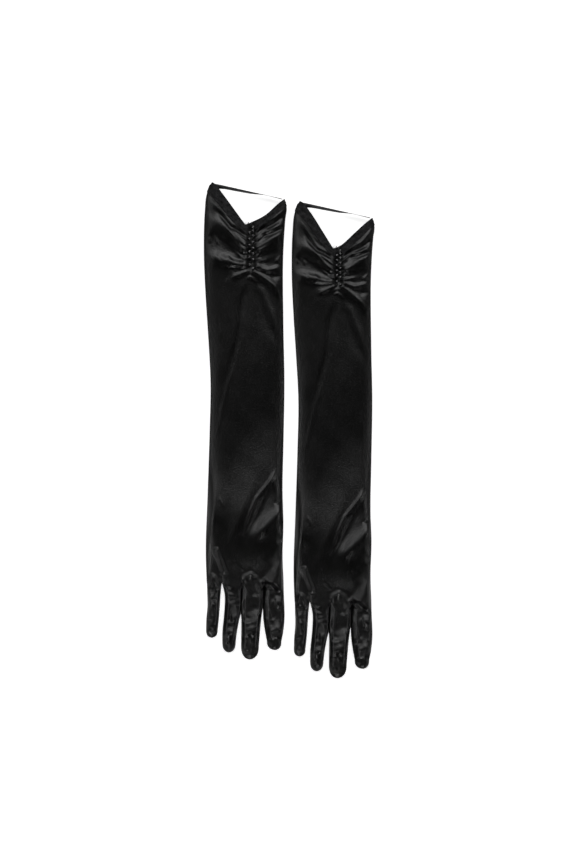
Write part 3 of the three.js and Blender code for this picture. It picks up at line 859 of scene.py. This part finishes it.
def satin_material():
    """Black stretch satin: a fine lengthwise float, a slubby grain and slight unevenness. The sheen is
    drawn out across the arm and, where the cloth is worked into the fingers, along them."""
    material, tree, shader = node_material("black_satin")
    place = tree.nodes.new("ShaderNodeUVMap")
    place.uv_map = "cloth"
    threads = cloth_noise(tree, place, (70, 8), 3.0)
    slub = cloth_noise(tree, place, (5.5, 9), 2.0)
    patches = cloth_noise(tree, place, (0.5, 0.3), 2.0)
    rumple = cloth_noise(tree, place, (2.6, 2.0), 1.5)
    tint = range_from(tree, slub.outputs["Fac"], (0.3, 0.7), (0.0003, 0.0034))
    grain = bump_from(tree, slub, 1.0, 0.00027)
    weave = bump_from(tree, threads, 0.2, 0.0001, grain)
    cloth = tree.nodes.new("ShaderNodeTangent")
    cloth.direction_type = "UV_MAP"
    cloth.uv_map = "cloth"
    arm_gloss = range_from(tree, patches.outputs["Fac"], (0.3, 0.7), (0.28, 0.36))
    sheen_of(tree, shader, 0.0, arm_gloss, 0.35, tint, bump_from(tree, rumple, 1.0, 0.00012, weave), cloth)
    along = tree.nodes.new("ShaderNodeBsdfPrincipled")
    hand_gloss = range_from(tree, patches.outputs["Fac"], (0.3, 0.7), (0.31, 0.4))
    sheen_of(tree, along, 0.25, hand_gloss, 0.3, tint, bump_from(tree, rumple, 1.0, 0.0003, weave), cloth)
    split = tree.nodes.new("ShaderNodeSeparateXYZ")
    tree.links.new(place.outputs["UV"], split.inputs[0])
    turning = range_from(tree, split.outputs["Y"], (5.5, -0.5), (0.0, 1.0), "SMOOTHSTEP")
    show_mixed(tree, turning, shader, along, "Material Output")
    return material


def hem_material():
    """The cuff's matte facing, with a coarse grain."""
    material, tree, shader = node_material("matte_facing", Roughness=0.7, Specular_IOR_Level=0.25)
    grain = solid_texture(tree, "ShaderNodeTexNoise", Scale=620.0, Detail=3.0, Roughness=0.75)
    streaks = solid_texture(tree, "ShaderNodeTexNoise", Scale=170.0, Detail=2.0, Roughness=0.6)
    both = maths(tree, "MULTIPLY", grain.outputs["Fac"], streaks.outputs["Fac"])
    tint = colour_from(tree, both, (0.002, 0.002, 0.0022), (0.034, 0.034, 0.036), (0.14, 0.42))
    tree.links.new(tint, shader.inputs["Base Color"])
    tree.links.new(bump_from(tree, grain, 0.5, 0.0004).outputs["Normal"], shader.inputs["Normal"])
    return material


def elastic_material():
    """Woven elastic with close ribs."""
    material, tree, shader = node_material("woven_elastic", Roughness=0.65)
    ribs = solid_texture(tree, "ShaderNodeTexWave", Scale=420.0, Distortion=1.5)
    tint = colour_from(tree, ribs.outputs["Fac"], (0.03, 0.03, 0.031), (0.1, 0.1, 0.104))
    tree.links.new(tint, shader.inputs["Base Color"])
    tree.links.new(bump_from(tree, ribs, 0.4, 0.0002).outputs["Normal"], shader.inputs["Normal"])
    return material


def bead_material():
    """Polished jet-black beads, slightly worn."""
    material, tree, shader = node_material("jet_bead", Base_Color=(0.004, 0.004, 0.0045, 1), IOR=2.3,
                                           Coat_Weight=0.6, Coat_Roughness=0.04)
    wear = solid_texture(tree, "ShaderNodeTexNoise", Scale=1400.0, Detail=2.0)
    gloss = range_from(tree, wear.outputs["Fac"], (0.0, 1.0), (0.05, 0.16))
    tree.links.new(gloss, shader.inputs["Roughness"])
    return material


def thread_and_seam_highlight_material():
    """Spun sewing thread, slightly fuzzy, in a tone well above the satin's. On the fourchette seams this
    lighter tone is a painted highlight along each seam.
    """
    material, tree, shader = node_material("sewing_thread_and_seam_highlight", Roughness=0.6, Sheen_Weight=0.3)
    twist = solid_texture(tree, "ShaderNodeTexNoise", Scale=2500.0, Detail=2.0)
    # thread tone, lighter than the black satin: on the seams it paints a highlight line
    tint = colour_from(tree, twist.outputs["Fac"], (0.02, 0.02, 0.021), (0.07, 0.07, 0.073))
    tree.links.new(tint, shader.inputs["Base Color"])
    return material


def floor_material():
    """A plain pale floor that glows a little, so that it stays white under the gloves."""
    material, tree, shader = node_material("pale_floor", Roughness=0.9, Specular_IOR_Level=0.1,
                                           Emission_Color=(1, 1, 1, 1), Emission_Strength=0.8)
    mottle = solid_texture(tree, "ShaderNodeTexNoise", Scale=3.0, Detail=2.0)
    tint = colour_from(tree, mottle.outputs["Fac"], (0.86, 0.86, 0.86), (0.9, 0.9, 0.9))
    tree.links.new(tint, shader.inputs["Base Color"])
    return material


# ---- stage ----
FRAME_HEIGHT = 1.008     # metres across the picture's long side, at the gloves
PICTURE_CENTRE = (-0.0014, -0.0026)
CAMERA_LENS = 100.0
SENSOR = 36.0
GLOW_TOWARDS = (-0.15, 0.42, 0.895)
SPOT_RADIUS = 0.4
FLOOR_HALF = 6.0
FLOOR_GAP = 0.0004       # just under the cloth


def add_camera():
    """Straight above the middle of the pair, cuffs at the top of the picture."""
    camera = new_object("camera", bpy.data.cameras.new("camera"))
    camera.data.lens = CAMERA_LENS
    camera.data.sensor_width = SENSOR
    camera.location = (*PICTURE_CENTRE, FRAME_HEIGHT * CAMERA_LENS / SENSOR + ARM_THICK * MM)
    camera.data.clip_end = 20
    bpy.context.scene.camera = camera


def hang_lamp(light, place, at):
    """Put a lamp somewhere, facing a point of the gloves, out of the camera's sight."""
    lamp = new_object(light.name, light)
    lamp.location = place
    lamp.rotation_euler = (Vector(at) - Vector(place)).to_track_quat("-Z", "Y").to_euler()
    lamp.visible_camera = False


def add_softbox(name, place, size, radiance):
    """An area light that faces the gloves. radiance sets its brightness whatever its size."""
    light = bpy.data.lights.new(name, "AREA")
    light.shape = "RECTANGLE"
    light.size, light.size_y = size
    light.energy = radiance * math.pi * size[0] * size[1]
    hang_lamp(light, place, (0, 0, 0))


def add_spot(name, place, strength, at, cone):
    """A round lamp whose light is kept to a cone of so many degrees, with a soft edge."""
    light = bpy.data.lights.new(name, "SPOT")
    light.shadow_soft_size = SPOT_RADIUS
    light.spot_size = math.radians(cone)
    light.spot_blend = 0.5
    light.energy = strength * 4 * (math.pi * SPOT_RADIUS) ** 2
    hang_lamp(light, place, at)


def add_lights():
    """A large light above the cuffs, dim ones at the sides, and small ones kept to the hands."""
    add_softbox("key_above_cuffs", (0.3, 2.05, 2.2), (3.4, 1.5), 2.4)
    add_softbox("corner_left", (-2.0, 1.4, 1.9), (1.2, 1.3), 1.95)
    add_softbox("low_left", (-2.6, 0, 1.2), (3.4, 2.0), 0.12)
    add_softbox("low_right", (2.6, 0, 1.2), (3.4, 2.0), 0.12)
    add_spot("hands_left", (-1.7, -0.6, 0.9), 7.5, (-0.02, -0.28, 0), 15)
    add_spot("hands_right", (1.7, -0.5, 0.85), 5.5, (0.04, -0.3, 0), 14)
    for elevation in (25, 37):
        rise = math.radians(elevation)
        place = (0, -0.3 - 1.6 * math.cos(rise), 1.6 * math.sin(rise))
        add_spot(f"beyond_fingertips_{elevation}", place, 8.5, (0, -0.335, 0), 14)


def add_world():
    """A dim room, brighter overhead and towards the key light, and below as the pale floor would be. The
    camera sees it as plain white."""
    world = bpy.data.worlds.new("studio")
    world.use_nodes = True
    bpy.context.scene.world = world
    tree = world.node_tree
    link = tree.links.new
    dim = tree.nodes["Background"]
    set_inputs(dim, Color=(1, 1, 1, 1))
    where = tree.nodes.new("ShaderNodeTexCoord").outputs["Generated"]
    towards = tree.nodes.new("ShaderNodeVectorMath")
    towards.operation = "DOT_PRODUCT"
    towards.inputs[1].default_value = GLOW_TOWARDS
    link(where, towards.inputs[0])
    glow = range_from(tree, towards.outputs["Value"], (0.78, 1.0), (0.002, 0.1))
    split = tree.nodes.new("ShaderNodeSeparateXYZ")
    link(where, split.inputs[0])
    bounce = range_from(tree, split.outputs["Z"], (0.12, -0.3), (0.0, 0.3))
    link(maths(tree, "ADD", glow, bounce), dim.inputs["Strength"])
    white = add_node(tree, "ShaderNodeBackground", Strength=1.0)
    seen = tree.nodes.new("ShaderNodeLightPath")
    show_mixed(tree, seen.outputs["Is Camera Ray"], dim, white, "World Output")


def add_floor():
    """The pale surface that the gloves lie on."""
    mesh = bpy.data.meshes.new("floor")
    corners = [(x * FLOOR_HALF, y * FLOOR_HALF, 0) for x, y in ((-1, -1), (1, -1), (1, 1), (-1, 1))]
    mesh.from_pydata(corners, [], [(0, 1, 2, 3)])
    mesh.materials.append(floor_material())
    floor = new_object("floor", mesh)
    floor.location.z = cad_low.z - FLOOR_GAP
    floor.visible_glossy = False


def stands_for(piece, node, body):
    """Show a piece instead of its CAD node, moving with a body."""
    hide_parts(node)
    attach(piece, body)


def bend_with(piece):
    """Bake a piece's placement into its points, leaving it where it lies."""
    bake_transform(piece)


def build_skin(prefix, glove, origin, materials):
    """The satin of the arm, hand and fingers, and the fourchettes."""
    pieces = split_net(glove_net(glove), prefix, origin, materials["satin"])
    for name, piece in pieces.items():
        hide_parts(f"{prefix}_{name}")
        if name in ("back_panel", "palm_panel"):
            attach(piece, f"glove_{prefix}")
        else:
            bend_with(piece)


def band_points(glove, rows):
    """The skin between two rows of the net, and its outward directions."""
    rings = arm_ring(rows, glove)
    along = np.gradient(rings, axis=0)
    around = np.roll(rings, -1, axis=1) - np.roll(rings, 1, axis=1)
    out = np.cross(around, along)
    return rings, out / np.maximum(np.linalg.norm(out, axis=-1, keepdims=True), 1e-9)


def build_hem(prefix, glove, origin, materials):
    """The doubled facing round the mouth: up the outside, over the folded edge and down the inside."""
    rows = np.linspace(HEM_START, 3.0, HEM_ROWS)
    rings, out = band_points(glove, rows)
    x, y = rings[..., 0], rings[..., 1]
    pucker = 0.4 * np.sin(x * 0.8 + y * 0.35) * np.sin(x * 0.27 - y * 0.43 + 1.0)
    pucker = pucker + 0.25 * np.sin(y * 0.9 - x * 0.3)
    top = rings[..., 2] > ARM_THICK / 2
    grown = smooth((rows - HEM_START) / 0.05)[:, None]
    rise = (HEM_RISE + pucker * top) * grown
    outer = rings + out * rise[..., None]
    over = rings[-1] + out[-1] * (HEM_RISE * 0.2)
    over = over + np.array([0, HEM_EDGE, 0])
    inner = rings[::-1] - out[::-1] * HEM_INSIDE
    layers = np.concatenate([outer, over[None], inner], axis=0)
    net, _ = loft(*layers.shape[:2])
    points = layers.reshape(-1, 3)
    piece = new_mesh(f"{prefix}_hem_facing", points, net.faces, origin, materials["hem_cloth"],
                     vertex_normals(points, net.faces))
    stands_for(piece, f"{prefix}_cuff_hem", f"glove_{prefix}")


def ribbon(name, line, wide, thick, origin, material):
    """A flat ribbon along a line of points. wide is the half-width vector at each point, and thick the
    half-thickness vector."""
    corners = [line + wide + thick, line + wide - thick, line - wide - thick, line - wide + thick]
    points = np.stack(corners, axis=1).reshape(-1, 3)
    return new_mesh(name, points, closed_loft(len(line), 4), origin, material)


def build_strap(prefix, origin, materials):
    """The elastic from peak to peak. It leaves the left peak flat and twists on edge as it goes."""
    share = np.linspace(0, 1, STRAP_POINTS)
    start, end = np.array(STRAP_START), np.array(STRAP_END)
    turn = through(STRAP_TURN)(share)
    down = np.array([end[1] - start[1], start[0] - end[0]]) / math.hypot(*(end - start))
    down = down * np.sign(-down[1])
    wide = np.stack([down[0] * np.cos(turn), down[1] * np.cos(turn), -np.sin(turn)], axis=-1)
    wide = wide * STRAP_WIDTH / 2
    thick = np.stack([down[0] * np.sin(turn), down[1] * np.sin(turn), np.cos(turn)], axis=-1)
    thick = thick * STRAP_THICK / 2
    middle = np.full((STRAP_POINTS, 1), ARM_THICK / 2)
    line = np.concatenate([start + (end - start) * share[:, None], middle], axis=1)
    line = line + wide * [1, 1, 0]
    piece = ribbon(f"{prefix}_strap_elastic", line, wide, thick, origin, materials["elastic"])
    stands_for(piece, f"{prefix}_strap", f"glove_{prefix}")


def top_surface(x, y, glove):
    """Height of the back of the glove, away from its sides."""
    return ARM_THICK + crown(x, y) + relief(x, y, glove)


def build_tape(prefix, glove, origin, materials):
    """The tape inside that the gathers are sewn to."""
    centre, low, high = glove["ruche"]
    y = np.linspace(low, high, TAPE_POINTS)
    x = np.full(TAPE_POINTS, centre)
    line = np.stack([x, y, top_surface(x, y, glove) - TAPE_DEPTH], axis=-1)
    wide = np.tile([TAPE_WIDTH / 2, 0, 0], (TAPE_POINTS, 1))
    thick = np.tile([0, 0, TAPE_THICK / 2], (TAPE_POINTS, 1))
    piece = ribbon(f"{prefix}_gather_tape", line, wide, thick, origin, materials["elastic"])
    stands_for(piece, f"{prefix}_stay_tape", f"glove_{prefix}")


def build_thumb(prefix, origin, materials):
    """The thumb's pocket under the palm: a flat pocket with a rounded tip, open where it joins the palm."""
    rounded = THUMB_REACH - THUMB_STRAIGHT
    tip = THUMB_STRAIGHT + rounded * np.sin(np.linspace(0.08, 1.54, 14))
    s = np.concatenate([np.linspace(0, THUMB_STRAIGHT, 31), tip])
    toe = np.sqrt(np.clip(1 - (np.maximum(s - THUMB_STRAIGHT, 0) / rounded) ** 2, 0, 1))
    half = THUMB_HALF_WIDTH * toe * (1 - 0.08 * smooth((s - 8) / 20))
    turns = np.linspace(0, 2 * math.pi, 41)[:-1]
    along = np.array([-math.sin(THUMB_ANGLE), -math.cos(THUMB_ANGLE)])
    across = np.array([along[1], -along[0]])
    wave = 0.35 * np.sin(s * 0.42 + 0.7)[:, None] * np.cos(turns + 0.6)[None]
    flat = np.sign(np.sin(turns)) * np.abs(np.sin(turns)) ** 0.8
    high = THUMB_THICK / 2 * (0.35 + 0.65 * toe) * np.minimum(1, half / 3)
    z = THUMB_THICK / 2 + high[:, None] * flat[None] + wave * np.minimum(1, half / 6)[:, None]
    centre = THUMB_PIVOT + s[:, None] * along
    xy = centre[:, None, :] + (half[:, None] * np.cos(turns)[None])[..., None] * across
    rings = np.concatenate([xy, np.clip(z, 0.05, THUMB_THICK + 0.2)[..., None]], axis=-1)
    count, around = rings.shape[:2]
    points = np.concatenate([rings.reshape(-1, 3), rings[-1].mean(axis=0)[None]])
    net, ids = loft(count, around)
    net.add_strip(ids[-1], np.full(around, count * around), [None] * around)
    normals = vertex_normals(points, net.faces)
    flow = np.stack([points[:, 0] / 10 + 20, points[:, 1] / 10], axis=-1)
    piece = new_mesh(f"{prefix}_thumb_pocket", points, net.faces, origin, materials["satin"], normals, flow)
    stands_for(piece, f"{prefix}_thumb", f"{prefix}_thumb")


def bead_profile():
    """A seed bead's outline round its hole, as (radius, along) pairs."""
    turns = np.linspace(0, 2 * math.pi, 15)[:-1]
    middle = (BEAD_RADIUS + BEAD_HOLE) / 2
    deep = (BEAD_RADIUS - BEAD_HOLE) / 2
    return [(middle + deep * math.cos(a), BEAD_RADIUS * 0.86 * math.sin(a)) for a in turns]


def build_bead(prefix, number, material):
    """One glass bead, sewn on with its hole across the glove. Returns its middle and its hole's way."""
    node = f"{prefix}_bead_{number:02d}"
    low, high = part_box(node)
    centre = (Vector(low) + Vector(high)) / 2
    tilt = 0.5 * math.sin(number * 2.4)
    across = np.array([math.cos(tilt), math.sin(tilt), 0.0])
    side = np.array([-math.sin(tilt), math.cos(tilt), 0.0])
    up = np.array([0.0, 0.0, 1.0])
    outline = bead_profile()
    rings = []
    for a in 2 * math.pi * np.arange(BEAD_FACETS) / BEAD_FACETS:
        out = side * math.cos(a) + up * math.sin(a)
        rings.append([out * r + across * s for r, s in outline])
    net, ids = loft(BEAD_FACETS, len(outline))
    net.add_strip(ids[-1], ids[0], [None] * len(outline))
    points = np.array(rings).reshape(-1, 3)
    piece = new_mesh(f"{node}_glass", points, net.faces, np.array(centre), material)
    stands_for(piece, node, f"glove_{prefix}")
    return np.array(centre), across


def tube(points, radius, sides=6):
    """Rings of a thin round thread along a line of points, as points and faces. radius is one number, or
    a column of them."""
    along = np.gradient(points, axis=0)
    along /= np.maximum(np.linalg.norm(along, axis=1, keepdims=True), 1e-9)
    lean = np.cross(along, [0.13, 0.21, 0.97])
    lean /= np.maximum(np.linalg.norm(lean, axis=1, keepdims=True), 1e-9)
    other = np.cross(along, lean)
    rings = [points + radius * (lean * math.cos(a) + other * math.sin(a))
             for a in np.linspace(0, 2 * math.pi, sides + 1)[:-1]]
    return np.stack(rings, axis=1).reshape(-1, 3), closed_loft(len(points), sides)


def threads_piece(name, lines, radius, origin, material):
    """Several threads as one piece."""
    points = []
    faces = []
    count = 0
    for line in lines:
        rings, sides = tube(np.array(line, float), radius)
        points.append(rings)
        faces += [[v + count for v in side] for side in sides]
        count += len(rings)
    return new_mesh(name, np.concatenate(points), faces, origin, material)


def build_seams_with_painted_highlight(prefix, glove, origin, materials):
    """The overcast seam along the top edge of each fourchette, a row of rounded stitches, in a thread
    lighter than the satin so that it shows as a painted highlight line along each seam.
    """
    column = {"left": 0, "right": PER_FINGER}
    for name, sides in FOURCHETTES.items():
        rings = finger_ring(name, glove)
        rings = rings[rings[:, 0, 1] > FINGERS[name]["tip"][1] + TIP_CLOSED]
        at = np.arange(0, len(rings) - 1, SEAM_STEP)
        swell = 0.65 + 0.35 * np.abs(np.sin(at * math.pi / ROWS_PER_STITCH))
        lines = []
        for side in sides:
            edge = rings[:, column[side]]
            line = [np.interp(at, np.arange(len(edge)), edge[:, i]) for i in range(3)]
            lines.append(np.stack(line, axis=-1))
        # the lighter thread paints a highlight line along the seam, where real black thread would be as
        # dark as the satin
        piece = threads_piece(f"{prefix}_{name}_seam", lines, SEAM_RADIUS * swell[:, None], origin,
                              materials["thread"])
        bend_with(piece)


def build_bead_threads(prefix, glove, origin, beads, materials):
    """The thread through each bead, down into the cloth at both ends."""
    lines = []
    for centre, across in beads:
        middle = (centre - origin) / MM
        for way in (-1, 1):
            out = middle + across * way * BEAD_RADIUS * 0.9
            foot = middle + across * way * (BEAD_RADIUS + 0.7)
            foot[2] = top_surface(foot[0], foot[1], glove) - 0.3
            bend = out + across * way * 0.3
            lines.append([middle, out, bend, (bend + foot) / 2, foot])
    piece = threads_piece(f"{prefix}_bead_threads", lines, THREAD_RADIUS, origin, materials["thread"])
    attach(piece, f"glove_{prefix}")


def build_frayed_threads(prefix, glove, origin, materials):
    """The loose ends that stick out at the foot of the V."""
    foot = np.array([5.0, 418.5 - glove["dip"], 0])
    lines = []
    for k in range(FRAYED_ENDS):
        start = foot + [k * 1.1 - 4.5, 0.4 * math.sin(k * 1.9), 0]
        lean = 0.5 * math.sin(k * 2.3)
        reach = 2.6 + 1.6 * math.sin(k * 1.37) ** 2
        line = []
        for s in np.linspace(0, 1, 6):
            point = start + np.array([lean * reach * s + 0.5 * math.sin(k + 5 * s), reach * s - 1.0, 0])
            point[2] = ARM_THICK + 1.4 + 0.7 * math.sin(k * 1.1 + 2.6 * s)
            line.append(point)
        lines.append(line)
    piece = threads_piece(f"{prefix}_frayed_threads", lines, FRAY_RADIUS, origin, materials["thread"])
    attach(piece, f"glove_{prefix}")


def build_glove(prefix, glove, materials):
    """One glove with all its pieces."""
    origin = glove_origin(prefix)
    build_skin(prefix, glove, origin, materials)
    build_hem(prefix, glove, origin, materials)
    build_strap(prefix, origin, materials)
    build_tape(prefix, glove, origin, materials)
    build_thumb(prefix, origin, materials)
    beads = [build_bead(prefix, number, materials["bead"]) for number in range(1, BEAD_COUNT + 1)]
    build_bead_threads(prefix, glove, origin, beads, materials)
    build_frayed_threads(prefix, glove, origin, materials)
    build_seams_with_painted_highlight(prefix, glove, origin, materials)


add_camera()
add_lights()
add_world()
add_floor()
materials = {
    "satin": satin_material(),
    "hem_cloth": hem_material(),
    "elastic": elastic_material(),
    "bead": bead_material(),
    "thread": thread_and_seam_highlight_material(),
}
for prefix, glove in GLOVES.items():
    build_glove(prefix, glove, materials)

bpy.context.scene.view_settings.view_transform = "Standard"
